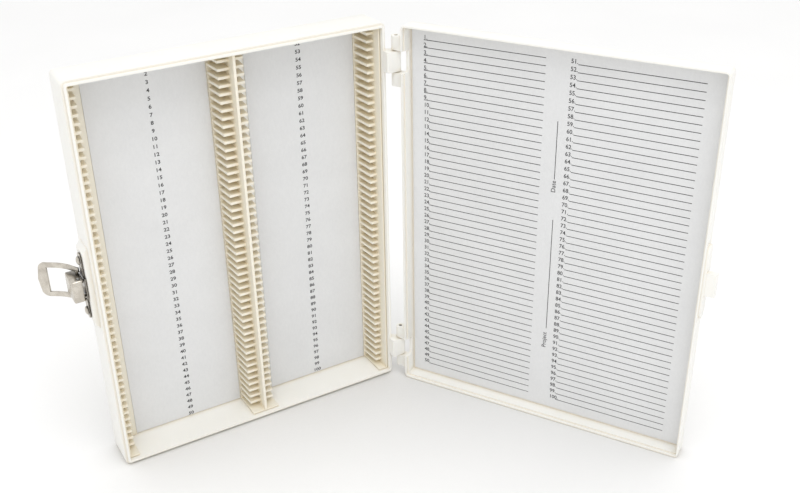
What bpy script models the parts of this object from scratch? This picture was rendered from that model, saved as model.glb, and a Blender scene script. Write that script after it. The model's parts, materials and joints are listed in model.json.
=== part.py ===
"""Storage box for 100 microscope slides, standing on its short end and open like a book.

Metres, +Z up. X runs across the tray, from the latch side (-X) to the hinge side (+X). The tray opens
towards -Y. The origin is the middle of the tray's bottom end face, on which the open box stands.
The lid hangs on an empty on the hinge axis, the lever and the bail on empties on theirs.
"""

from math import cos, pi, radians, sin

import bmesh
import bpy
from mathutils import Matrix, Vector

MM = 0.001

# Driving dimensions
HEIGHT = 210 * MM            # long side of the box, along Z as it stands
WIDTH = 161 * MM             # short side
TRAY_DEPTH = 21.0 * MM       # from the rim's ledge to the back
LID_DEPTH = 10.7 * MM
WALL = 2.2 * MM
TRAY_FLOOR = 1.7 * MM
LID_WALL = 1.6 * MM
LID_FLOOR = 2.1 * MM
CORNER_RADIUS = 2.4 * MM
INNER_RADIUS = 0.6 * MM
TRAY_BACK_RADIUS = 2.3 * MM
LID_BACK_RADIUS = 1.6 * MM
GAP = 0.3 * MM               # between pieces that rest on each other
OPEN_ANGLE = radians(121)    # how far the lid stands open at rest

# Rim: a tongue on the tray goes into a rebate in the lid
TONGUE = 1.1 * MM
TONGUE_RISE = 1.5 * MM
LIP = 0.85 * MM              # outside the rebate
REBATE_DEPTH = 1.9 * MM

# Slots for slides of 76 x 26 x 1 mm
SLOTS = 50
PITCH = 4.1 * MM
RUNG = 1.4 * MM
RACK_END = 0.7 * MM
RACK_BACK = 0.8 * MM
RUNG_TOP = 6.3 * MM          # depth below the tray's ledge
RACK_TOP = 0.9 * MM
RACK_LENGTH = 3.9 * MM       # from the back plate to a rung's upper corner
CENTRE_RUNG = 6.0 * MM
RUNG_DRAFT = 0.8 * MM
RACK_FOOT = 0.8 * MM
FOOT_STEP = 0.1 * MM         # its toe lies lower than the slots' floor
WEB = 1.4 * MM
SEAT_GAP = 0.15 * MM         # under the racks and the sheets
PAPER = 0.25 * MM
SHEET_WIDTH = 60.2 * MM

# Hinges
HINGE_OUT = 4.2 * MM         # from the side walls to the axis
HINGE_FRONT = 3.66 * MM      # from the tray's ledge to the axis
HINGE_FROM_END = 19.3 * MM   # from each end of the box to the middle of its hinge
KNUCKLE_RADIUS = 2.4 * MM
TRAY_KNUCKLE = 10.7 * MM
LID_KNUCKLE = 7.3 * MM
KNUCKLE_GAP = 0.5 * MM
PIN_RADIUS = 1.0 * MM
PIN_CLEARANCE = 0.1 * MM
PIN_RECESS = 0.5 * MM
NOTCH_DEPTH = 6.3 * MM       # in the lid's wall, around the tray's knuckle

# Latch: heights outwards from the tray's side wall, depths from the tray's ledge
LATCH_Z = 105 * MM
LATCH_PAD = 2.4 * MM
LATCH_PAD_LENGTH = 44 * MM
LATCH_PAD_FRONT = 3.5 * MM
LATCH_PAD_BACK = 15.5 * MM
PLATE = 0.7 * MM
PLATE_LENGTH = 36 * MM
PLATE_TAB = 2.5 * MM         # half the width of its ends
PLATE_MIDDLE = 5.6 * MM      # half the length of its wide part, under the lever
PLATE_FRONT = 5.0 * MM
PLATE_BACK = 14.4 * MM
EAR_REACH = 1.3 * MM
EAR_INSIDE = 3.8 * MM
SHEET_METAL = 0.8 * MM
LEVER_HALF = 5.75 * MM
LEVER_FRONT = 4.0 * MM
LEVER_BACK = 17.0 * MM
LEVER_TOP = 9.8 * MM
LEVER_LIFT = 0.35 * MM       # clear of the plate
LEVER_AXIS = (6.0 * MM, 6.5 * MM)      # outwards, depth
BAIL_AXIS = (4.9 * MM, 12.0 * MM)
LEVER_PIN_RADIUS = 0.75 * MM
BAIL_PIN_RADIUS = 0.8 * MM
BAIL_STRIP = 0.9 * MM
BAIL_INSIDE = 6.8 * MM       # half the loop's inner width
BAIL_ARM = 2.5 * MM
BAIL_REACH = 17.0 * MM       # from its pivot to the crosspiece
BAIL_CROSSPIECE = 4.2 * MM
BAIL_BOW = 1.5 * MM          # how far its arms arch
BAIL_CURL = 0.9 * MM         # how far its crosspiece bends the other way
BAIL_REST = radians(42)      # from lying back along the wall
RIVET_SPACING = 27.8 * MM
RIVET_DEPTH = 9.5 * MM
RIVET_RADIUS = 1.3 * MM

# Catch on the lid
CATCH_PAD = 1.4 * MM
CATCH_PAD_LENGTH = 40 * MM
CATCH_PAD_FRONT = 0.6 * MM   # behind the lid's rim
CATCH_PAD_BACK = 7.8 * MM
CATCH_HEIGHT = 6.4 * MM
CATCH_LENGTH = 12.4 * MM

TRAY_RIM = -TRAY_DEPTH / 2
SIDE = WIDTH / 2
MIDDLE = HEIGHT / 2
FLOOR_DEPTH = TRAY_DEPTH - TRAY_FLOOR
HINGE_X = SIDE + HINGE_OUT
HINGE_Y = TRAY_RIM - HINGE_FRONT
LID_RIM = -HINGE_FRONT + GAP           # in the lid's own frame, along its Y
RACK_HEIGHT = HEIGHT - 2 * WALL - 2 * GAP
KNUCKLE_ROW = TRAY_KNUCKLE + 2 * (LID_KNUCKLE + KNUCKLE_GAP)
PLATE_TOP = LATCH_PAD + GAP + PLATE


def fresh_collection(name):
    collection = bpy.data.collections.new(name)
    bpy.context.scene.collection.children.link(collection)
    return collection


for old in list(bpy.data.objects):
    bpy.data.objects.remove(old)
PARTS = fresh_collection("slide_storage_box")
CUTTERS = fresh_collection("cutters")


def material(name, colour, roughness, metallic=0.0):
    made = bpy.data.materials.new(name)
    made.use_nodes = True
    shader = made.node_tree.nodes["Principled BSDF"]
    shader.inputs["Base Color"].default_value = (*colour, 1)
    shader.inputs["Roughness"].default_value = roughness
    shader.inputs["Metallic"].default_value = metallic
    return made


WHITE_PLASTIC = material("white_plastic", (0.86, 0.85, 0.80), 0.42)
IVORY_PLASTIC = material("ivory_plastic", (0.84, 0.81, 0.72), 0.45)
PAPER_SHEET = material("paper", (0.80, 0.80, 0.79), 0.85)
NICKEL = material("nickel_plate", (0.66, 0.62, 0.55), 0.28, 1.0)
STEEL = material("pin_steel", (0.55, 0.55, 0.54), 0.35, 1.0)


# ---- making objects ----

def add(name, mesh, finish=None):
    """A part when it has a finish, otherwise a helper that the render and the build leave out."""
    obj = bpy.data.objects.new(name, mesh)
    if finish is None:
        obj.hide_render = True
        obj.display_type = "WIRE"
        CUTTERS.objects.link(obj)
    else:
        mesh.materials.append(finish)
        PARTS.objects.link(obj)
    return obj


def axis_empty(name, location, turn, parent=None):
    empty = bpy.data.objects.new(name, None)
    empty.location = location
    empty.rotation_euler = (0, 0, turn)
    empty.parent = parent
    PARTS.objects.link(empty)
    return empty


def box(name, low, high, finish=None, radius=0.0, back_radius=0.0, parent=None):
    """A box between two corners. radius rounds the edges along Y, back_radius the edges of its +Y face."""
    low, high = Vector(low), Vector(high)
    half = (high - low) / 2
    shape = bmesh.new()
    bmesh.ops.create_cube(shape, size=1, matrix=Matrix.Diagonal((*(half * 2), 1)))
    if radius:
        along_y = [e for e in shape.edges if abs(e.verts[0].co.y - e.verts[1].co.y) > half.y]
        bmesh.ops.bevel(shape, geom=along_y, offset=radius, segments=4, profile=0.5, affect="EDGES")
    if back_radius:
        back = [e for e in shape.edges if all(v.co.y > half.y * 0.999 for v in e.verts)]
        bmesh.ops.bevel(shape, geom=back, offset=back_radius, segments=4, profile=0.5, affect="EDGES")
    mesh = bpy.data.meshes.new(name)
    shape.to_mesh(mesh)
    shape.free()
    obj = add(name, mesh, finish)
    obj.location = low + half
    obj.parent = parent
    return obj


def cylinder(name, centre, radius, length, direction="Z", finish=None, parent=None, sides=24):
    shape = bmesh.new()
    bmesh.ops.create_cone(shape, cap_ends=True, segments=sides, radius1=radius, radius2=radius, depth=length)
    mesh = bpy.data.meshes.new(name)
    shape.to_mesh(mesh)
    shape.free()
    mesh.shade_smooth()
    mesh.set_sharp_from_angle(angle=radians(30))
    obj = add(name, mesh, finish)
    obj.location = centre
    if direction == "X":
        obj.rotation_euler = (0, pi / 2, 0)
    obj.parent = parent
    return obj


def outline_solid(name, outlines, thickness, centre=(0, 0, 0), finish=None, parent=None, turned=(0, 0, 0)):
    """Flat outlines in the object's XY plane, extruded along its Z. A second outline is a hole."""
    curve = bpy.data.curves.new(name, "CURVE")
    curve.dimensions = "2D"
    curve.fill_mode = "BOTH"
    curve.extrude = thickness / 2
    for points in outlines:
        spline = curve.splines.new("POLY")
        spline.points.add(len(points) - 1)
        for target, (x, y) in zip(spline.points, points):
            target.co = (x, y, 0, 1)
        spline.use_cyclic_u = True
    guide = bpy.data.objects.new(name + "_outline", curve)
    CUTTERS.objects.link(guide)
    bpy.context.view_layer.update()
    graph = bpy.context.evaluated_depsgraph_get()
    mesh = bpy.data.meshes.new_from_object(guide.evaluated_get(graph))
    bpy.data.objects.remove(guide)
    shape = bmesh.new()
    shape.from_mesh(mesh)
    bmesh.ops.remove_doubles(shape, verts=shape.verts, dist=0.01 * MM)
    bmesh.ops.recalc_face_normals(shape, faces=shape.faces)
    shape.to_mesh(mesh)
    shape.free()
    obj = add(name, mesh, finish)
    obj.location = centre
    obj.rotation_euler = turned
    obj.parent = parent
    return obj


def combine(obj, other, operation):
    modifier = obj.modifiers.new(f"{operation.lower()}_{other.name}", "BOOLEAN")
    modifier.operation = operation
    modifier.object = other
    modifier.solver = "EXACT"


def cut(obj, *others):
    for other in others:
        combine(obj, other, "DIFFERENCE")


def join(obj, *others):
    for other in others:
        combine(obj, other, "UNION")


def arc(centre, radius, start, end, steps):
    return [
        (centre[0] + radius * cos(start + (end - start) * i / steps),
         centre[1] + radius * sin(start + (end - start) * i / steps))
        for i in range(steps + 1)
    ]


# ---- hinge knuckles ----

def tray_knuckle(name, z):
    """A barrel on the hinge axis and a solid tab from it to the tray's wall, in front of the wall's ledge."""
    outside, inside = -HINGE_OUT, -HINGE_OUT - WALL + 0.1 * MM
    outline = arc((0, 0), KNUCKLE_RADIUS, -pi / 2, pi / 2, 12)
    outline += [(outside, HINGE_FRONT + 2.6 * MM), (outside - 0.8 * MM, HINGE_FRONT + 2.6 * MM),
                (inside, HINGE_FRONT + 1.0 * MM), (inside, -KNUCKLE_RADIUS + 0.6 * MM),
                (inside + 0.6 * MM, -KNUCKLE_RADIUS)]
    return outline_solid(name, [outline], TRAY_KNUCKLE, (HINGE_X, HINGE_Y, z))


def lid_knuckle(name, z, lid_axis):
    """A barrel on the hinge axis with a block that runs across to the lid's side wall."""
    inside = HINGE_OUT + LID_WALL / 2
    outline = arc((0, 0), KNUCKLE_RADIUS, pi / 2, 3 * pi / 2, 12)
    outline += [(inside, -KNUCKLE_RADIUS), (inside, KNUCKLE_RADIUS)]
    return outline_solid(name, [outline], LID_KNUCKLE, (0, 0, z), parent=lid_axis)


HINGE_HEIGHTS = {"lower": HINGE_FROM_END, "upper": HEIGHT - HINGE_FROM_END}


# ---- tray ----

def latch_pad():
    """A raised pad on the outside of the tray's latch-side wall, with sloping ends."""
    half, slope = LATCH_PAD_LENGTH / 2, 3 * MM
    embed = WALL / 2
    outline = [(embed, -half), (-0.2 * MM, -half), (-LATCH_PAD, -half + slope),
               (-LATCH_PAD, half - slope), (-0.2 * MM, half), (embed, half)]
    depth = LATCH_PAD_BACK - LATCH_PAD_FRONT
    middle = TRAY_RIM + (LATCH_PAD_FRONT + LATCH_PAD_BACK) / 2
    # The outline's Y is turned to the world's Z.
    return outline_solid("latch_pad", [outline], depth, (-SIDE, middle, LATCH_Z), turned=(pi / 2, 0, 0))


def make_tray():
    tray = box("base_tray", (-SIDE, TRAY_RIM, 0), (SIDE, -TRAY_RIM, HEIGHT), WHITE_PLASTIC,
               CORNER_RADIUS, TRAY_BACK_RADIUS)
    tongue_edge = WALL - TONGUE
    tongue = box("tray_tongue", (-SIDE + tongue_edge, TRAY_RIM - TONGUE_RISE, tongue_edge),
                 (SIDE - tongue_edge, TRAY_RIM + 2 * MM, HEIGHT - tongue_edge), radius=CORNER_RADIUS - tongue_edge)
    cavity = box("tray_cavity", (-SIDE + WALL, TRAY_RIM - 5 * MM, WALL),
                 (SIDE - WALL, TRAY_RIM + FLOOR_DEPTH, HEIGHT - WALL), radius=INNER_RADIUS)
    join(tray, tongue)
    for place, z in HINGE_HEIGHTS.items():
        join(tray, tray_knuckle(f"tray_knuckle_{place}", z))
    join(tray, latch_pad())
    cut(tray, cavity)
    for place, z in HINGE_HEIGHTS.items():
        cut(tray, cylinder(f"tray_pin_hole_{place}", (HINGE_X, HINGE_Y, z), PIN_RADIUS + PIN_CLEARANCE,
                           TRAY_KNUCKLE + 2 * MM))
    for side, z in (("lower", LATCH_Z - RIVET_SPACING / 2), ("upper", LATCH_Z + RIVET_SPACING / 2)):
        y = TRAY_RIM + RIVET_DEPTH
        cut(tray, cylinder(f"rivet_hole_{side}", (-SIDE, y, z), RIVET_RADIUS + 0.2 * MM, 12 * MM, "X"))
        cut(tray, cylinder(f"rivet_recess_{side}", (-SIDE + WALL, y, z), 2.7 * MM, 2.4 * MM, "X"))
    return tray


# ---- racks ----

def rack_outlines(direction, back_x, top_length, foot_x):
    """(the end plate's outline, the outline of the pocket between the end plates, a rung's outline).

    direction is +1 where the rungs point to +X. back_x is the face that they stand on.
    """
    top = TRAY_RIM + RACK_TOP
    bottom = TRAY_RIM + FLOOR_DEPTH - SEAT_GAP
    foot = bottom - RACK_FOOT
    rung_top = TRAY_RIM + RUNG_TOP
    corner = back_x + direction * top_length
    toe = corner + direction * RUNG_DRAFT
    embed = 0.1 * MM
    root = back_x - direction * embed
    past = toe + direction * MM
    end_plate = [(back_x, top), (toe, top), (toe, foot + FOOT_STEP), (foot_x, foot + FOOT_STEP),
                 (foot_x, bottom), (back_x, bottom)]
    pocket = [(back_x, top - MM), (past, top - MM), (past, foot), (back_x, foot)]
    rung = [(root, rung_top), (corner, rung_top), (toe - direction * embed, foot),
            (toe - direction * embed, foot + embed), (root, foot + embed)]
    return end_plate, pocket, rung


def fill_with_rungs(rack, name, pocket, rung):
    cut(rack, outline_solid(name + "_pocket", [pocket], RACK_HEIGHT - 2 * RACK_END, (0, 0, MIDDLE)))
    first = outline_solid(name + "_rungs", [rung], RUNG, (0, 0, MIDDLE - (SLOTS - 2) / 2 * PITCH))
    repeat = first.modifiers.new("slots", "ARRAY")
    repeat.count = SLOTS - 1
    repeat.use_relative_offset = False
    repeat.use_constant_offset = True
    repeat.constant_offset_displace = (0, 0, PITCH)
    join(rack, first)


def make_side_rack(name, direction, foot_x):
    """A rack along a side wall: a back plate with rungs that point to the middle of the tray."""
    wall_x = -direction * (SIDE - WALL - GAP)
    back_x = wall_x + direction * RACK_BACK
    end_plate, pocket, rung = rack_outlines(direction, back_x, RACK_LENGTH, foot_x)
    outline = [(wall_x, end_plate[0][1])] + end_plate[1:-1] + [(wall_x, end_plate[-1][1])]
    rack = outline_solid(name, [outline], RACK_HEIGHT, (0, 0, MIDDLE), IVORY_PLASTIC)
    fill_with_rungs(rack, name, pocket, rung)
    return rack


def make_centre_rack():
    """A tall web in the middle of the tray with rungs on both of its sides."""
    toe = WEB / 2 + CENTRE_RUNG + RUNG_DRAFT
    rack = box("rack_centre", (-toe, TRAY_RIM + RACK_TOP, MIDDLE - RACK_HEIGHT / 2),
               (toe, TRAY_RIM + FLOOR_DEPTH - SEAT_GAP, MIDDLE + RACK_HEIGHT / 2), IVORY_PLASTIC)
    for name, direction in (("centre_right", 1), ("centre_left", -1)):
        pocket, rung = rack_outlines(direction, direction * WEB / 2, CENTRE_RUNG, 0)[1:]
        fill_with_rungs(rack, name, pocket, rung)
    return rack


# ---- paper ----

def make_sheets():
    back = TRAY_RIM + FLOOR_DEPTH - SEAT_GAP
    inner_toe = WEB / 2 + CENTRE_RUNG + RUNG_DRAFT + 0.3 * MM
    low, high = WALL + 2 * GAP, HEIGHT - WALL - 2 * GAP
    left_edge = -inner_toe - 0.2 * MM
    right_edge = SIDE - WALL - GAP - RACK_BACK - RACK_LENGTH - RUNG_DRAFT - 0.6 * MM
    box("number_sheet_left", (left_edge - SHEET_WIDTH, back - PAPER, low), (left_edge, back, high), PAPER_SHEET)
    box("number_sheet_right", (right_edge - SHEET_WIDTH, back - PAPER, low), (right_edge, back, high), PAPER_SHEET)
    return left_edge - SHEET_WIDTH, right_edge


# ---- lid ----

def make_lid(lid_axis):
    """In the lid's own frame: X runs away from the hinge, and Y from the rim to the back."""
    near, far = HINGE_OUT, HINGE_OUT + WIDTH
    back = LID_RIM + LID_DEPTH
    lid = box("lid", (near, LID_RIM, 0), (far, back, HEIGHT), WHITE_PLASTIC, CORNER_RADIUS, LID_BACK_RADIUS,
              parent=lid_axis)
    panel = back - LID_FLOOR
    cavity = box("lid_cavity", (near + LID_WALL, LID_RIM - 5 * MM, LID_WALL),
                 (far - LID_WALL, panel, HEIGHT - LID_WALL), radius=INNER_RADIUS, parent=lid_axis)
    rebate = box("lid_rebate", (near + LIP, LID_RIM - 5 * MM, LIP),
                 (far - LIP, LID_RIM + REBATE_DEPTH, HEIGHT - LIP), radius=CORNER_RADIUS - LIP, parent=lid_axis)
    for place, z in HINGE_HEIGHTS.items():
        offset = (TRAY_KNUCKLE + LID_KNUCKLE) / 2 + KNUCKLE_GAP
        for side, height in (("low", z - offset), ("high", z + offset)):
            join(lid, lid_knuckle(f"lid_knuckle_{place}_{side}", height, lid_axis))
    join(lid, catch_pad(far, lid_axis), catch_hook(far, lid_axis))
    cut(lid, cavity, rebate)
    for place, z in HINGE_HEIGHTS.items():
        cut(lid, cylinder(f"lid_pin_hole_{place}", (0, 0, z), PIN_RADIUS + PIN_CLEARANCE,
                          KNUCKLE_ROW + 2 * MM, parent=lid_axis))
        cut(lid, knuckle_notch(f"knuckle_notch_{place}", z, lid_axis))
    box("index_sheet", (near + WALL + GAP, panel - SEAT_GAP - PAPER, WALL + GAP),
        (far - WALL - GAP, panel - SEAT_GAP, HEIGHT - WALL - GAP), PAPER_SHEET, parent=lid_axis)
    return lid


def knuckle_notch(name, z, lid_axis):
    """A cutter for the opening in the lid's hinge-side wall that clears the tray's knuckle."""
    half, radius = TRAY_KNUCKLE / 2 + KNUCKLE_GAP - 0.05 * MM, 1.2 * MM
    bottom = LID_RIM + NOTCH_DEPTH
    outline = [(half, LID_RIM - 2 * MM)] + arc((half - radius, bottom - radius), radius, 0, pi / 2, 4)
    outline += arc((-half + radius, bottom - radius), radius, pi / 2, pi, 4) + [(-half, LID_RIM - 2 * MM)]
    # The outline's X is turned to the frame's Z.
    return outline_solid(name, [outline], LID_WALL + 0.6 * MM, (HINGE_OUT + LID_WALL / 2, 0, z),
                         parent=lid_axis, turned=(0, pi / 2, 0))


def catch_pad(wall_x, lid_axis):
    """A low pad with round ends on the lid's side wall, behind the hook."""
    half, radius = CATCH_PAD_LENGTH / 2, (CATCH_PAD_BACK - CATCH_PAD_FRONT) / 2
    outline = arc((half - radius, 0), radius, -pi / 2, pi / 2, 10)
    outline += arc((-half + radius, 0), radius, pi / 2, 3 * pi / 2, 10)
    embed = LID_WALL / 2
    return outline_solid("catch_pad", [outline], CATCH_PAD + embed,
                         (wall_x + (CATCH_PAD - embed) / 2, LID_RIM + CATCH_PAD_FRONT + radius, LATCH_Z),
                         parent=lid_axis, turned=(0, pi / 2, 0))


def catch_hook(wall_x, lid_axis):
    """The block that the bail hooks over, undercut on its far side."""
    embed = LID_WALL / 2 - 0.1 * MM
    outline = [(wall_x - embed, LID_RIM + 2.2 * MM), (wall_x, LID_RIM + 0.8 * MM),
               (wall_x + CATCH_HEIGHT, LID_RIM + 0.8 * MM), (wall_x + CATCH_HEIGHT, LID_RIM + 4.3 * MM),
               (wall_x - embed, LID_RIM + 3.6 * MM)]
    return outline_solid("catch_hook", [outline], CATCH_LENGTH, (0, 0, LATCH_Z), parent=lid_axis)


# ---- hinge pins ----

def make_hinge_pins():
    for place, z in HINGE_HEIGHTS.items():
        cylinder(f"hinge_pin_{place}", (HINGE_X, HINGE_Y, z), PIN_RADIUS, KNUCKLE_ROW - 2 * PIN_RECESS,
                 finish=STEEL)


# ---- latch ----

def outwards(height, depth, z=LATCH_Z):
    """A point by its height out from the latch-side wall and its depth behind the tray's ledge."""
    return (-SIDE - height, TRAY_RIM + depth, z)


def make_latch_plate():
    """Round-ended tabs for the rivets, a wide middle under the lever, and two ears for the lever's pin."""
    step = 0.04 * MM
    plate = box("latch_plate", outwards(PLATE_TOP, PLATE_FRONT, LATCH_Z - PLATE_MIDDLE),
                outwards(PLATE_TOP - PLATE + step, PLATE_BACK, LATCH_Z + PLATE_MIDDLE), NICKEL)
    end = PLATE_LENGTH / 2 - PLATE_TAB
    outline = arc((end, 0), PLATE_TAB, -pi / 2, pi / 2, 10) + arc((-end, 0), PLATE_TAB, pi / 2, 3 * pi / 2, 10)
    # The outline's X is turned to the world's Z.
    centre = outwards(PLATE_TOP - step - (PLATE - step) / 2, RIVET_DEPTH)
    join(plate, outline_solid("latch_plate_tabs", [outline], PLATE - step, centre, turned=(0, pi / 2, 0)))
    foot = PLATE_TOP - 0.3 * MM
    pivot = (-LEVER_AXIS[0], LEVER_AXIS[1])
    ear = arc(pivot, EAR_REACH, pi / 2, 3 * pi / 2, 12)
    ear += [(-foot, pivot[1] - EAR_REACH), (-foot, pivot[1] + EAR_REACH)]
    for name, side in (("ear_lower", -1), ("ear_upper", 1)):
        z = LATCH_Z + side * (EAR_INSIDE + SHEET_METAL / 2)
        join(plate, outline_solid(name, [ear], SHEET_METAL, (-SIDE, TRAY_RIM, z)))
    cut(plate, cylinder("ear_holes", outwards(*LEVER_AXIS), LEVER_PIN_RADIUS + PIN_CLEARANCE, 14 * MM))
    for name, side in (("plate_hole_lower", -1), ("plate_hole_upper", 1)):
        z = LATCH_Z + side * RIVET_SPACING / 2
        cut(plate, cylinder(name, outwards(PLATE_TOP, RIVET_DEPTH, z), RIVET_RADIUS + 0.2 * MM, 4 * MM, "X"))
    return plate


def make_rivets():
    """A domed head outside the plate, a shank through the wall and a flat clinched end in its recess."""
    head_base = PLATE_TOP + GAP
    tail_top = -WALL + 1.0 * MM
    dome = [(2.2 * MM * cos(a), head_base + 1.15 * MM * sin(a)) for a in (pi / 2 * (1 - i / 5) for i in range(6))]
    profile = dome + [(RIVET_RADIUS, head_base), (RIVET_RADIUS, tail_top), (2.3 * MM, tail_top),
                      (2.3 * MM, tail_top - 0.8 * MM), (0, tail_top - 0.8 * MM)]
    for place, side in (("lower", -1), ("upper", 1)):
        mesh = bpy.data.meshes.new(f"latch_rivet_{place}")
        edges = [(i, i + 1) for i in range(len(profile) - 1)]
        mesh.from_pydata([(radius if radius > 1e-7 else 0, 0, height) for radius, height in profile], edges, [])
        rivet = add(mesh.name, mesh, NICKEL)
        rivet.location = (-SIDE, TRAY_RIM + RIVET_DEPTH, LATCH_Z + side * RIVET_SPACING / 2)
        rivet.rotation_euler = (0, -pi / 2, 0)
        screw = rivet.modifiers.new("turned", "SCREW")
        screw.steps = screw.render_steps = 24
        screw.use_merge_vertices = True
        screw.merge_threshold = 0.00001
        screw.use_smooth_shade = True


def make_lever(lever_axis):
    """A folded box, open towards the plate and at its back, which turns on the pin near its front."""
    out, depth = LEVER_AXIS

    def at(height, y, z):
        return (-(height - out), y - depth, z)

    bottom = PLATE_TOP + LEVER_LIFT
    lever = box("latch_lever", at(LEVER_TOP, LEVER_FRONT, -LEVER_HALF), at(bottom, LEVER_BACK, LEVER_HALF),
                NICKEL, parent=lever_axis)
    rounding = lever.modifiers.new("folds", "BEVEL")
    rounding.width = 0.7 * MM
    rounding.segments = 3
    inside = LEVER_HALF - SHEET_METAL
    hollow = box("lever_hollow", at(LEVER_TOP - SHEET_METAL, LEVER_FRONT + SHEET_METAL, -inside),
                 at(bottom - MM, LEVER_BACK + MM, inside), parent=lever_axis)
    under_front = box("lever_under_front", at(bottom + 1.1 * MM, LEVER_FRONT - MM, -inside),
                      at(bottom - MM, LEVER_FRONT + 1.6 * MM, inside), parent=lever_axis)
    # Below the pivot its front is round, so that it turns clear of the plate when the lever is lifted.
    turn = out - PLATE_TOP - 0.1 * MM
    corner = arc((0, 0), turn, 0, -pi / 2, 8) + [(0, -2 * turn), (2 * turn, -2 * turn), (2 * turn, 0)]
    round_front = outline_solid("lever_round_front", [corner], 14 * MM, parent=lever_axis)
    pivot_hole = cylinder("lever_pivot_hole", (0, 0, 0), LEVER_PIN_RADIUS + PIN_CLEARANCE, 14 * MM,
                          parent=lever_axis)
    bail_hole = cylinder("lever_bail_hole", at(*BAIL_AXIS, 0), BAIL_PIN_RADIUS + PIN_CLEARANCE, 14 * MM,
                         parent=lever_axis)
    cut(lever, hollow, under_front, round_front, pivot_hole, bail_hole)
    return lever


def make_bail(bail_axis):
    """A bent strip loop. In its own frame it reaches along Y, with its pivots on Z."""
    width = BAIL_INSIDE + BAIL_ARM
    tip = BAIL_REACH + BAIL_CROSSPIECE
    eye = 1.2 * MM
    corner = 3.4 * MM
    bulge = 0.9 * MM
    outer = [(-width, -eye), (-width, tip - corner)]
    outer += arc((-width + corner, tip - corner), corner, pi, pi / 2, 5)[1:]
    outer += [(0, tip + bulge)]
    outer += arc((width - corner, tip - corner), corner, pi / 2, 0, 5)[:-1]
    outer += [(width, tip - corner), (width, -eye)]
    inner = [(BAIL_INSIDE, -eye), (BAIL_INSIDE, BAIL_REACH), (-BAIL_INSIDE, BAIL_REACH), (-BAIL_INSIDE, -eye)]
    # The outline's X is turned to the frame's Z, and its thickness lies along the frame's X.
    bail = outline_solid("latch_bail", [outer + inner], 6 * MM, finish=NICKEL, parent=bail_axis,
                         turned=(0, pi / 2, 0))
    line = [(BAIL_BOW * sin(pi * i / 8), BAIL_REACH * i / 8) for i in range(9)]
    line = [(0.0, -2 * MM)] + line + [(-BAIL_CURL * t ** 1.4, BAIL_REACH + 6 * MM * t) for t in (0.3, 0.6, 1.0)]
    side = [(x + BAIL_STRIP / 2, y) for x, y in line] + [(x - BAIL_STRIP / 2, y) for x, y in reversed(line)]
    combine(bail, outline_solid("bail_side", [side], 24 * MM, parent=bail_axis), "INTERSECT")
    inner_end = LEVER_HALF - SHEET_METAL - 0.6 * MM
    for side in (-1, 1):
        name = "bail_tip_upper" if side > 0 else "bail_tip_lower"
        length = BAIL_INSIDE + 1.0 * MM - inner_end
        join(bail, cylinder(name, (0, 0, side * (inner_end + length / 2)), BAIL_PIN_RADIUS, length,
                            parent=bail_axis))
    return bail


make_tray()
make_side_rack("rack_latch_side", 1, -SIDE + 12.0 * MM)
make_side_rack("rack_hinge_side", -1, SIDE - WALL - GAP - RACK_BACK - RACK_LENGTH - RUNG_DRAFT - 0.4 * MM)
make_centre_rack()
make_sheets()

LID_AXIS = axis_empty("lid_axis", (HINGE_X, HINGE_Y, 0), OPEN_ANGLE - pi)
make_lid(LID_AXIS)
make_hinge_pins()

make_latch_plate()
make_rivets()
LEVER_EMPTY = axis_empty("lever_axis", outwards(*LEVER_AXIS), 0)
make_lever(LEVER_EMPTY)
cylinder("latch_lever_pin", outwards(*LEVER_AXIS), LEVER_PIN_RADIUS, 2 * (LEVER_HALF + 0.5 * MM), finish=STEEL)
BAIL_EMPTY = axis_empty(
    "bail_axis", (LEVER_AXIS[0] - BAIL_AXIS[0], BAIL_AXIS[1] - LEVER_AXIS[1], 0), BAIL_REST, LEVER_EMPTY)
make_bail(BAIL_EMPTY)
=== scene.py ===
"""Looks of a storage box for 100 microscope slides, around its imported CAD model.

Metres, in the part's own frame: X from the latch side to the hinge side, the tray open towards -Y, +Z up.
Pieces of the lid are made in the lid's own frame, whose X runs away from the hinge's axis and whose Y runs
from the lid's rim to its back, and are then turned to the angle at which the lid stands open.
"""

import json
from math import cos, pi, radians, sin

import bmesh
import bpy
from mathutils import Matrix, Vector


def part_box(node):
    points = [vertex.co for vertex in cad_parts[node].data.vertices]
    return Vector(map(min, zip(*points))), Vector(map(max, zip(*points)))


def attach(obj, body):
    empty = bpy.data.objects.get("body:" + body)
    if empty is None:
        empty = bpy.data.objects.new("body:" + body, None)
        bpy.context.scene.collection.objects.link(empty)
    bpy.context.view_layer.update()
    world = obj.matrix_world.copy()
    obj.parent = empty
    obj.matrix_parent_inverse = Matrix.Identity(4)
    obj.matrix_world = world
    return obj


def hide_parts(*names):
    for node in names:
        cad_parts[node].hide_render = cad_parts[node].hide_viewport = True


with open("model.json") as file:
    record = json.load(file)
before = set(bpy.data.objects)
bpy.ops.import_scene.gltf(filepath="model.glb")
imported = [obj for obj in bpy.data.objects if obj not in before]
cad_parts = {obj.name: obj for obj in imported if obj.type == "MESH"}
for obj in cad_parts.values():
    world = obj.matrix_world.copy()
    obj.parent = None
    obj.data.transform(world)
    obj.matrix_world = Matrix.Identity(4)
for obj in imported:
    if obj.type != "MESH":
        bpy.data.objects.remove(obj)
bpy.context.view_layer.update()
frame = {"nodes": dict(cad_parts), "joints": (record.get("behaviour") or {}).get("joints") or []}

MM = 0.001
NODES = frame["nodes"]
JOINTS = {joint["name"]: joint for joint in frame["joints"]}
HINGE = Vector(JOINTS["lid_hinge"]["pos_m"])
OPEN_ANGLE = radians(121)
LID_FRAME = Matrix.Translation((HINGE.x, HINGE.y, 0)) @ Matrix.Rotation(OPEN_ANGLE - pi, 4, "Z")

SLOTS = 50               # in each of the tray's two columns


# ---- materials ----

OCCLUSION_SAMPLES = 8
NOISE_LOW, NOISE_HIGH = 0.3, 0.7         # the range that a noise pattern mostly stays in


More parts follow.
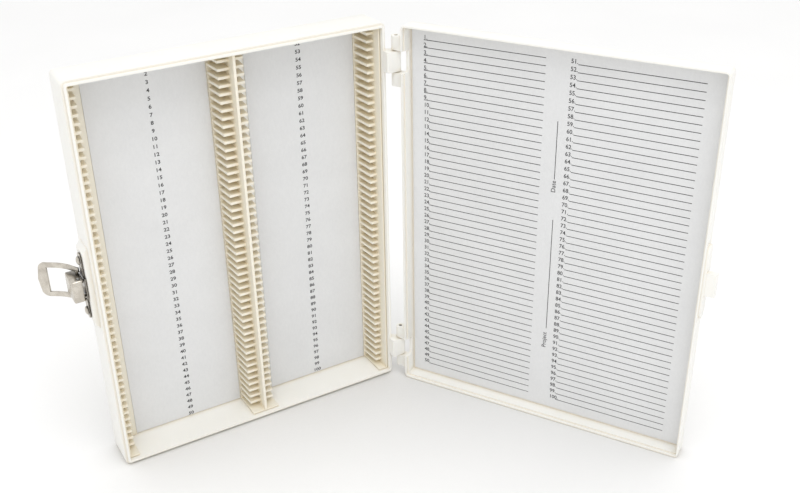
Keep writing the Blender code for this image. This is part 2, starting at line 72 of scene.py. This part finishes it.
def new_material(name):
    """(material, its node tree, its Principled shader, an object-space coordinate socket)"""
    made = bpy.data.materials.new(name)
    made.use_nodes = True
    tree = made.node_tree
    shader = tree.nodes["Principled BSDF"]
    place = tree.nodes.new("ShaderNodeTexCoord").outputs["Object"]
    return made, tree, shader, place


def scaled(tree, place, scale):
    mapping = tree.nodes.new("ShaderNodeMapping")
    mapping.inputs["Scale"].default_value = scale
    tree.links.new(place, mapping.inputs["Vector"])
    return mapping.outputs["Vector"]


def noise(tree, place, scale, detail, roughness=0.5):
    """A noise pattern. scale is in features per metre."""
    node = tree.nodes.new("ShaderNodeTexNoise")
    node.inputs["Scale"].default_value = scale
    node.inputs["Detail"].default_value = detail
    node.inputs["Roughness"].default_value = roughness
    tree.links.new(place, node.inputs["Vector"])
    return node.outputs["Fac"]


def ramp(tree, value, low, high, top=NOISE_HIGH):
    """The colour low below NOISE_LOW, turning to high at top."""
    node = tree.nodes.new("ShaderNodeValToRGB")
    for element, position, colour in zip(node.color_ramp.elements, (NOISE_LOW, top), (low, high)):
        element.position = position
        element.color = (*colour, 1)
    tree.links.new(value, node.inputs["Fac"])
    return node.outputs["Color"]


def spread(tree, value, low, high):
    """The value's usual range mapped to low to high."""
    node = tree.nodes.new("ShaderNodeMapRange")
    node.inputs["From Min"].default_value = NOISE_LOW
    node.inputs["From Max"].default_value = NOISE_HIGH
    node.inputs["To Min"].default_value = low
    node.inputs["To Max"].default_value = high
    tree.links.new(value, node.inputs["Value"])
    return node.outputs["Result"]


def bump(tree, shader, height, distance, strength):
    node = tree.nodes.new("ShaderNodeBump")
    node.inputs["Distance"].default_value = distance
    node.inputs["Strength"].default_value = strength
    tree.links.new(height, node.inputs["Height"])
    tree.links.new(node.outputs["Normal"], shader.inputs["Normal"])


def mix(tree, factor, a, b):
    """a turned to b by the factor. Each of the three is a socket or a value."""
    node = tree.nodes.new("ShaderNodeMix")
    node.data_type = "RGBA"
    if isinstance(factor, float):
        node.inputs["Factor"].default_value = factor
    else:
        tree.links.new(factor, node.inputs["Factor"])
    for socket, value in ((node.inputs["A"], a), (node.inputs["B"], b)):
        if isinstance(value, tuple):
            socket.default_value = (*value, 1)
        else:
            tree.links.new(value, socket)
    return node.outputs["Result"]


def crevices(tree, colour, shade_colour, reach, power):
    """Painted shade: the colour, turned to the darker shade colour in narrow gaps and corners, where shade
    falls.

    reach is how wide a gap still counts, and a higher power takes in shallower ones.
    """
    node = tree.nodes.new("ShaderNodeAmbientOcclusion")
    node.samples = OCCLUSION_SAMPLES
    node.inputs["Distance"].default_value = reach
    shaped = tree.nodes.new("ShaderNodeMath")
    shaped.operation = "POWER"
    shaped.inputs[1].default_value = power
    tree.links.new(node.outputs["AO"], shaped.inputs[0])
    return mix(tree, shaped.outputs[0], shade_colour, colour)


def moulded_plastic(name, colour, darker, shade_colour, reach, roughness):
    """Satin injection-moulded plastic: faint flow marks, a fine spark-eroded grain, and painted warm shade in
    gaps and corners.
    """
    made, tree, shader, place = new_material(name)
    flow = noise(tree, scaled(tree, place, (1, 1, 0.35)), scale=22, detail=4)
    colours = ramp(tree, flow, darker, colour)
    tree.links.new(crevices(tree, colours, shade_colour, reach, power=1.3), shader.inputs["Base Color"])
    grain = noise(tree, place, scale=3600, detail=2)
    dull = noise(tree, place, scale=160, detail=5)
    tree.links.new(spread(tree, dull, roughness - 0.05, roughness + 0.06), shader.inputs["Roughness"])
    shader.inputs["IOR"].default_value = 1.5
    shader.inputs["Subsurface Weight"].default_value = 0.12
    shader.inputs["Subsurface Radius"].default_value = (1.0, 0.9, 0.75)
    shader.inputs["Subsurface Scale"].default_value = 1.2 * MM
    bump(tree, shader, grain, distance=0.02 * MM, strength=0.35)
    return made


def paper():
    """Coated paper: a faint fibre pattern under a matt face."""
    made, tree, shader, place = new_material("coated_paper")
    fibres = noise(tree, scaled(tree, place, (1, 1, 0.5)), scale=900, detail=6, roughness=0.7)
    mottle = noise(tree, place, scale=45, detail=3)
    base = ramp(tree, fibres, (0.71, 0.715, 0.72), (0.76, 0.765, 0.77))
    clouds = ramp(tree, mottle, (0.69, 0.69, 0.69), (0.79, 0.79, 0.79))
    tree.links.new(mix(tree, 0.25, base, clouds), shader.inputs["Base Color"])
    tree.links.new(spread(tree, mottle, 0.62, 0.75), shader.inputs["Roughness"])
    bump(tree, shader, fibres, distance=0.02 * MM, strength=0.4)
    return made


def printing_ink():
    """Thin black offset ink, slightly uneven."""
    made, tree, shader, place = new_material("black_ink")
    cover = noise(tree, place, scale=2600, detail=3)
    colours = ramp(tree, cover, (0.022, 0.022, 0.024), (0.055, 0.055, 0.058), top=0.75)
    tree.links.new(colours, shader.inputs["Base Color"])
    tree.links.new(spread(tree, cover, 0.55, 0.75), shader.inputs["Roughness"])
    bump(tree, shader, cover, distance=0.005 * MM, strength=0.3)
    return made


def bare_metal(name, colour, darker, roughness):
    """Plated sheet or drawn wire: faint drawn lines along Z, dull patches, and painted dark shade in gaps and
    corners.
    """
    made, tree, shader, place = new_material(name)
    shader.inputs["Metallic"].default_value = 1.0
    lines = noise(tree, scaled(tree, place, (1, 1, 0.06)), scale=5200, detail=3)
    patches = noise(tree, place, scale=260, detail=5, roughness=0.6)
    colours = ramp(tree, patches, darker, colour, top=0.62)
    # Painted shade: near-black in narrow gaps, such as between the latch's lever and its plate.
    colours_with_painted_shade = crevices(tree, colours, (0.03, 0.026, 0.022), reach=4 * MM, power=2.2)
    tree.links.new(colours_with_painted_shade, shader.inputs["Base Color"])
    tree.links.new(spread(tree, patches, roughness + 0.10, roughness - 0.06), shader.inputs["Roughness"])
    bump(tree, shader, lines, distance=0.012 * MM, strength=0.5)
    return made


# The third colour of each plastic is painted warm shade for its gaps and corners.
WHITE = moulded_plastic("white_plastic_moulded", (0.885, 0.875, 0.835), (0.855, 0.845, 0.80),
                        (0.78, 0.71, 0.58), reach=3 * MM, roughness=0.36)
# The racks' cream colours are painted warm shade, the tint of light bounced about inside the tray.
RACK_PLASTIC_PAINTED_WARM_SHADE = moulded_plastic("rack_plastic_painted_warm_shade", (0.88, 0.84, 0.74), (0.85, 0.805, 0.69),
                        (0.83, 0.73, 0.53), reach=4 * MM, roughness=0.42)
PAPER = paper()
INK = printing_ink()
NICKEL = bare_metal("nickel_plated_sheet", (0.66, 0.62, 0.55), (0.50, 0.46, 0.40), roughness=0.27)
PIN_STEEL = bare_metal("drawn_pin_steel", (0.55, 0.55, 0.54), (0.40, 0.40, 0.39), roughness=0.33)


# ---- making pieces ----

def add_mesh(name, mesh, material, body, place=None):
    mesh.materials.clear()
    mesh.materials.append(material)
    obj = bpy.data.objects.new(name, mesh)
    bpy.context.scene.collection.objects.link(obj)
    if place is not None:
        obj.matrix_world = place
    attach(obj, body)
    return obj


def mesh_from(name, shape):
    """A mesh from a bmesh, which is then freed."""
    mesh = bpy.data.meshes.new(name)
    shape.to_mesh(mesh)
    shape.free()
    return mesh


def round_edges(obj, width, segments, angle):
    """Small rounds on the edges that bend by more than the angle, in degrees. Flat faces still look flat."""
    edges = obj.modifiers.new("round_edges", "BEVEL")
    edges.width = width
    edges.segments = segments
    edges.limit_method = "ANGLE"
    edges.angle_limit = radians(angle)
    edges.harden_normals = True


# ---- slotted racks ----

RACK_LOW, RACK_HIGH = 2.5 * MM, 207.5 * MM
RACK_END = 0.7 * MM              # below the first slot and above the last
PITCH = 4.1 * MM
RUNG = 1.4 * MM
RACK_TOP_Y, RUNG_TOP_Y, FOOT_Y, RACK_BOTTOM_Y = -9.6 * MM, -4.2 * MM, 7.85 * MM, 8.65 * MM
RACK_ROUNDING = 0.16 * MM


def rack_levels():
    """Heights at which the rack's section changes, and the kind of section above each but the last."""
    heights, kinds = [RACK_LOW], ["end"]
    z = RACK_LOW + RACK_END
    for slot in range(SLOTS):
        heights.append(z)
        kinds.append("slot")
        z += PITCH - RUNG
        if slot < SLOTS - 1:
            heights.append(z)
            kinds.append("rung")
            z += RUNG
    return heights + [z, RACK_HIGH], kinds + ["end"]


def rack_mesh(name, points, loops, steps):
    """A closed mesh of a rack along Z.

    points has the section's corners by name, loops the outline of each kind of section, and steps the faces
    between two kinds of section that meet.
    """
    shape = bmesh.new()
    heights, kinds = rack_levels()
    rows = [{key: shape.verts.new((x, y, z)) for key, (x, y) in points.items()} for z in heights]
    for row, above, kind in zip(rows, rows[1:], kinds):
        loop = loops[kind]
        for a, b in zip(loop, loop[1:] + loop[:1]):
            shape.faces.new((row[a], row[b], above[b], above[a]))
    for row, below, above in zip(rows[1:], kinds, kinds[1:]):
        for outline in steps["end" if "end" in (below, above) else "rung"]:
            shape.faces.new([row[key] for key in outline])
    for row in (rows[0], rows[-1]):
        shape.faces.new([row[key] for key in loops["end"]])
    unused = [vert for vert in shape.verts if not vert.link_faces]
    bmesh.ops.delete(shape, geom=unused, context="VERTS")
    bmesh.ops.recalc_face_normals(shape, faces=shape.faces)
    for face in shape.faces:
        face.smooth = True
    return mesh_from(name, shape)


def add_rack(node, mesh):
    rack = add_mesh(node + "_moulded", mesh, RACK_PLASTIC_PAINTED_WARM_SHADE, "base")
    round_edges(rack, RACK_ROUNDING, segments=2, angle=30)
    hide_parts(node)


def side_rack(node, wall, back, corner, toe, foot):
    """A back plate along a side wall, with rungs that point to the middle of the tray."""
    points = {"wall_top": (wall, RACK_TOP_Y), "top": (back, RACK_TOP_Y), "end_top": (toe, RACK_TOP_Y),
              "root": (back, RUNG_TOP_Y), "corner": (corner, RUNG_TOP_Y), "toe": (toe, FOOT_Y),
              "heel": (back, FOOT_Y), "foot": (foot, FOOT_Y), "foot_low": (foot, RACK_BOTTOM_Y),
              "wall_low": (wall, RACK_BOTTOM_Y)}
    base = ["foot", "foot_low", "wall_low"]
    loops = {"end": ["wall_top", "top", "end_top", "toe"] + base,
             "slot": ["wall_top", "top", "root", "heel", "toe"] + base,
             "rung": ["wall_top", "top", "root", "corner", "toe"] + base}
    steps = {"end": [["top", "end_top", "toe", "heel", "root"]], "rung": [["root", "corner", "toe", "heel"]]}
    add_rack(node, rack_mesh(node, points, loops, steps))


def centre_rack(node, web, corner, toe):
    """A web with rungs on both of its sides."""
    points, steps = {}, {"end": [], "rung": []}
    for side, sign in (("l", -1), ("r", 1)):
        points.update({side + "_top": (sign * web, RACK_TOP_Y), side + "_end_top": (sign * toe, RACK_TOP_Y),
                       side + "_root": (sign * web, RUNG_TOP_Y), side + "_corner": (sign * corner, RUNG_TOP_Y),
                       side + "_toe": (sign * toe, FOOT_Y), side + "_heel": (sign * web, FOOT_Y),
                       side + "_low": (sign * toe, RACK_BOTTOM_Y)})
        steps["end"].append([side + key for key in ("_top", "_end_top", "_toe", "_heel", "_root")])
        steps["rung"].append([side + key for key in ("_root", "_corner", "_toe", "_heel")])

    def both(keys):
        """The section's outline, from its left half's keys, which run from the bottom to the web's top."""
        return ["l" + key for key in keys] + ["r" + key for key in reversed(keys)]

    loops = {"end": both(["_low", "_toe", "_end_top", "_top"]),
             "slot": both(["_low", "_toe", "_heel", "_root", "_top"]),
             "rung": both(["_low", "_toe", "_corner", "_root", "_top"])}
    add_rack(node, rack_mesh(node, points, loops, steps))


side_rack("rack_latch_side", wall=-78.0 * MM, back=-77.2 * MM, corner=-73.3 * MM, toe=-72.5 * MM,
          foot=-68.5 * MM)
side_rack("rack_hinge_side", wall=78.0 * MM, back=77.2 * MM, corner=73.3 * MM, toe=72.5 * MM,
          foot=72.1 * MM)
centre_rack("rack_centre", web=0.7 * MM, corner=6.7 * MM, toe=7.5 * MM)


# ---- the kept CAD nodes ----

PLANE_ANGLE = 0.6        # degrees; facets that turn by less become one face
EDGE_ANGLE = 32
WELD_DISTANCE = 0.002 * MM

FINISHES = {             # material, width and segments of the edges' rounding
    "base_tray": (WHITE, 0.28 * MM, 3),
    "lid": (WHITE, 0.28 * MM, 3),
    "number_sheet_left": (PAPER, 0, 0),
    "number_sheet_right": (PAPER, 0, 0),
    "index_sheet": (PAPER, 0, 0),
    "hinge_pin_upper": (PIN_STEEL, 0.15 * MM, 2),
    "hinge_pin_lower": (PIN_STEEL, 0.15 * MM, 2),
    "latch_plate": (NICKEL, 0.08 * MM, 2),
    "latch_rivet_upper": (NICKEL, 0, 0),
    "latch_rivet_lower": (NICKEL, 0, 0),
    "latch_lever": (NICKEL, 0.1 * MM, 2),
    "latch_lever_pin": (PIN_STEEL, 0.12 * MM, 2),
    "latch_bail": (NICKEL, 0.22 * MM, 3),
}


def smooth_shading():
    """A modifier's node group that shades all faces smooth."""
    group = bpy.data.node_groups.new("smooth_shading", "GeometryNodeTree")
    for way in ("INPUT", "OUTPUT"):
        group.interface.new_socket("Geometry", in_out=way, socket_type="NodeSocketGeometry")
    start, smooth, end = [group.nodes.new(kind) for kind in
                          ("NodeGroupInput", "GeometryNodeSetShadeSmooth", "NodeGroupOutput")]
    group.links.new(start.outputs["Geometry"], smooth.inputs["Geometry"])
    group.links.new(smooth.outputs["Geometry"], end.inputs["Geometry"])
    return group


def soften(obj, width, segments, shading):
    """Round edges and smooth shading on a CAD node, all by modifiers, so that its own mesh stays as it is."""
    obj.modifiers.new("smooth_shading", "NODES").node_group = shading
    weld = obj.modifiers.new("weld", "WELD")
    weld.merge_threshold = WELD_DISTANCE
    flat = obj.modifiers.new("one_face_per_plane", "DECIMATE")
    flat.decimate_type = "DISSOLVE"
    flat.angle_limit = radians(PLANE_ANGLE)
    round_edges(obj, width, segments, EDGE_ANGLE)


def finish_cad_nodes():
    shading = smooth_shading()
    for node, (finish, width, segments) in FINISHES.items():
        shown = NODES[node]
        for slot in shown.material_slots:
            slot.material = finish
        if width:
            soften(shown, width, segments, shading)


finish_cad_nodes()


# ---- printing ----

UPRIGHT = Matrix.Rotation(pi / 2, 4, "X")          # XY of a print to XZ, facing -Y
PRINT_LIFT = 0.02 * MM
INK_HEIGHT = 0.03 * MM
CURVE_STEPS = 3
LINE_WIDTH = 0.34 * MM

TRAY_DIGITS = 2.7 * MM
TRAY_DIGIT_MIDDLE = 0.36         # half a digit's height, as a share of the type size
TRAY_COLUMNS = (                 # name, first number, sheet, x, height of the first number, pitch
    ("tray_print_left", 1, "number_sheet_left", -37.15 * MM, 204.15 * MM, 4.0823 * MM),
    ("tray_print_right", 51, "number_sheet_right", 40.9 * MM, 205.05 * MM, 4.0935 * MM),
)

LID_RIM = -3.36 * MM             # in the lid's frame, as are all the places below
LID_SHEET = LID_RIM + 8.2 * MM
INDEX_DIGITS = 3.1 * MM
INDEX_DIGIT_LIFT = 0.35 * MM     # above the line
INDEX_SHORT_NUMBER = 3.0 * MM    # how much further left a line starts under a one-digit number
INDEX_LETTERS = 3.3 * MM
INDEX_COLUMNS = (                # first number, its x, ends of its line, height of its line, pitch
    (1, 13.1625 * MM, (16.247 * MM, 78.08625 * MM), 201.73 * MM, 3.9485 * MM),
    (51, 90.474 * MM, (94.056 * MM, 154.0545 * MM), 200.69 * MM, 3.9235 * MM),
)
INDEX_FIELDS = (                 # word, its place, x of its writing line, ends of the line
    ("Date", (86.5935 * MM, 136.3 * MM), 85.7975 * MM, (140.2 * MM, 171.05 * MM)),
    ("Project", (86.5935 * MM, 45.3 * MM), 86.295 * MM, (52.8 * MM, 117.9 * MM)),
)


def text_mesh(body, size, bold, line_pitch=None, align="CENTER", stretch=1.0):
    """Lettering as a closed mesh in its own XY plane, facing +Z, with the first baseline on Y = 0.

    bold is how far its strokes are widened to each side, and stretch its width against the type's own.
    """
    curve = bpy.data.curves.new("lettering", "FONT")
    curve.body = body
    curve.size = size
    curve.align_x = align
    curve.extrude = INK_HEIGHT / 2
    curve.offset = bold
    curve.resolution_u = CURVE_STEPS
    if line_pitch:
        curve.space_line = line_pitch / size
    holder = bpy.data.objects.new("lettering", curve)
    bpy.context.scene.collection.objects.link(holder)
    bpy.context.view_layer.update()
    mesh = bpy.data.meshes.new_from_object(holder.evaluated_get(bpy.context.evaluated_depsgraph_get()))
    bpy.data.objects.remove(holder)
    mesh.transform(Matrix.Diagonal((stretch, 1, 1, 1)))
    return mesh


def bars_mesh(bars):
    """Thin raised bars in the XY plane, each (x0, y0, x1, y1)."""
    shape = bmesh.new()
    for x0, y0, x1, y1 in bars:
        size = Matrix.Diagonal((x1 - x0, y1 - y0, INK_HEIGHT, 1))
        middle = Matrix.Translation(((x0 + x1) / 2, (y0 + y1) / 2, 0))
        bmesh.ops.create_cube(shape, size=1, matrix=middle @ size)
    return mesh_from("bars", shape)


def joined(name, meshes):
    """One mesh from several (mesh, matrix)."""
    shape = bmesh.new()
    for mesh, matrix in meshes:
        mesh.transform(matrix)
        shape.from_mesh(mesh)
        bpy.data.meshes.remove(mesh)
    return mesh_from(name, shape)


def tray_numbers(name, first, sheet, x, first_z, pitch):
    """The slot numbers down a sheet, with the top one behind the tray's upper wall."""
    body = "\n".join(str(number) for number in range(first, first + SLOTS))
    mesh = text_mesh(body, TRAY_DIGITS, bold=0.06 * MM, line_pitch=pitch, stretch=1.12)
    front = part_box(sheet)[0].y - PRINT_LIFT
    baseline = first_z - TRAY_DIGITS * TRAY_DIGIT_MIDDLE
    mesh.transform(Matrix.Translation((x, front, baseline)) @ UPRIGHT)
    return add_mesh(name, mesh, INK, "base")


def index_column(first, number_x, line_x, first_z, pitch):
    """(mesh, matrix) pairs of one column: the numbers with their dots, and a ruled line under each."""
    body = "\n".join(f"{number}." for number in range(first, first + SLOTS))
    mesh = text_mesh(body, INDEX_DIGITS, bold=0.04 * MM, line_pitch=pitch, align="LEFT", stretch=0.95)
    numbers = Matrix.Translation((number_x, first_z + INDEX_DIGIT_LIFT, 0))
    start, end = line_x
    bars = []
    for row in range(SLOTS):
        z = first_z - row * pitch
        wider = INDEX_SHORT_NUMBER if first + row < 10 else 0
        bars.append((start - wider, z - LINE_WIDTH / 2, end, z + LINE_WIDTH / 2))
    return [(mesh, numbers), (bars_mesh(bars), Matrix())]


def index_field(word, place, line_x, line_z):
    """(mesh, matrix) pairs of a word that reads upwards and the writing line above it."""
    mesh = text_mesh(word, INDEX_LETTERS, bold=0.02 * MM)
    turned = Matrix.Translation((*place, 0)) @ Matrix.Rotation(pi / 2, 4, "Z")
    start, end = line_z
    line = bars_mesh([(line_x - LINE_WIDTH / 2, start, line_x + LINE_WIDTH / 2, end)])
    return [(mesh, turned), (line, Matrix())]


def index_print():
    prints = []
    for column in INDEX_COLUMNS:
        prints += index_column(*column)
    for field in INDEX_FIELDS:
        prints += index_field(*field)
    mesh = joined("index_print", prints)
    mesh.transform(Matrix.Translation((0, LID_SHEET - PRINT_LIFT, 0)) @ UPRIGHT)
    add_mesh("index_print", mesh, INK, "lid", place=LID_FRAME)


for column in TRAY_COLUMNS:
    tray_numbers(*column)
index_print()


# ---- floor, light and camera ----

FLOOR_HALF = 4.0
FLOOR_DROP = 0.2 * MM            # below the box, so that the two faces don't coincide
SHADOW_REACH = 130 * MM          # how far from the box the painted shadow on the floor reaches

WORLD_STRENGTH = 0.95
KEY_PLACE, KEY_TARGET = Vector((-0.1, -0.62, 1.35)), Vector((0.04, -0.06, 0.1))
KEY_SIZE, KEY_POWER = 0.9, 6.0

CAMERA_PLACE = (-0.17233, -0.45565, 0.36013)
CAMERA_YAW, CAMERA_PITCH, CAMERA_ROLL = radians(30.255), radians(-28.41), radians(-0.92)
CAMERA_LENS, CAMERA_SENSOR = 47.28, 36.0


def make_floor():
    made, tree, shader, place = new_material("pale_floor")
    tone = noise(tree, place, scale=6, detail=2)
    colours = ramp(tree, tone, (0.925, 0.923, 0.918), (0.945, 0.943, 0.938))
    shadowed = crevices(tree, colours, (0.60, 0.595, 0.585), SHADOW_REACH, power=1.0)
    tree.links.new(shadowed, shader.inputs["Base Color"])
    shader.inputs["Roughness"].default_value = 0.7
    shape = bmesh.new()
    bmesh.ops.create_grid(shape, x_segments=8, y_segments=8, size=FLOOR_HALF)
    mesh = mesh_from("floor", shape)
    mesh.materials.append(made)
    floor = bpy.data.objects.new("floor", mesh)
    floor.location = (0, 0, -FLOOR_DROP)
    bpy.context.scene.collection.objects.link(floor)


def make_light():
    world = bpy.data.worlds.new("studio")
    world.use_nodes = True
    background = world.node_tree.nodes["Background"]
    background.inputs["Color"].default_value = (1.0, 1.0, 1.0, 1)
    background.inputs["Strength"].default_value = WORLD_STRENGTH
    bpy.context.scene.world = world
    light = bpy.data.lights.new("key", "AREA")
    light.size = KEY_SIZE
    light.energy = KEY_POWER
    key = bpy.data.objects.new("key", light)
    key.location = KEY_PLACE
    key.rotation_euler = (KEY_TARGET - KEY_PLACE).to_track_quat("-Z", "Y").to_euler()
    bpy.context.scene.collection.objects.link(key)


def make_camera():
    forward = Vector((sin(CAMERA_YAW) * cos(CAMERA_PITCH), cos(CAMERA_YAW) * cos(CAMERA_PITCH),
                      sin(CAMERA_PITCH)))
    right = Vector((cos(CAMERA_YAW), -sin(CAMERA_YAW), 0))
    up = right.cross(forward)
    across = right * cos(CAMERA_ROLL) + up * sin(CAMERA_ROLL)
    upward = up * cos(CAMERA_ROLL) - right * sin(CAMERA_ROLL)
    data = bpy.data.cameras.new("camera")
    data.sensor_width = CAMERA_SENSOR
    data.lens = CAMERA_LENS
    data.clip_start = 0.01
    camera = bpy.data.objects.new("camera", data)
    turn = Matrix((across, upward, -forward)).transposed().to_4x4()
    camera.matrix_world = Matrix.Translation(CAMERA_PLACE) @ turn
    bpy.context.scene.collection.objects.link(camera)
    bpy.context.scene.camera = camera


make_floor()
make_light()
make_camera()
bpy.context.scene.view_settings.view_transform = "Standard"
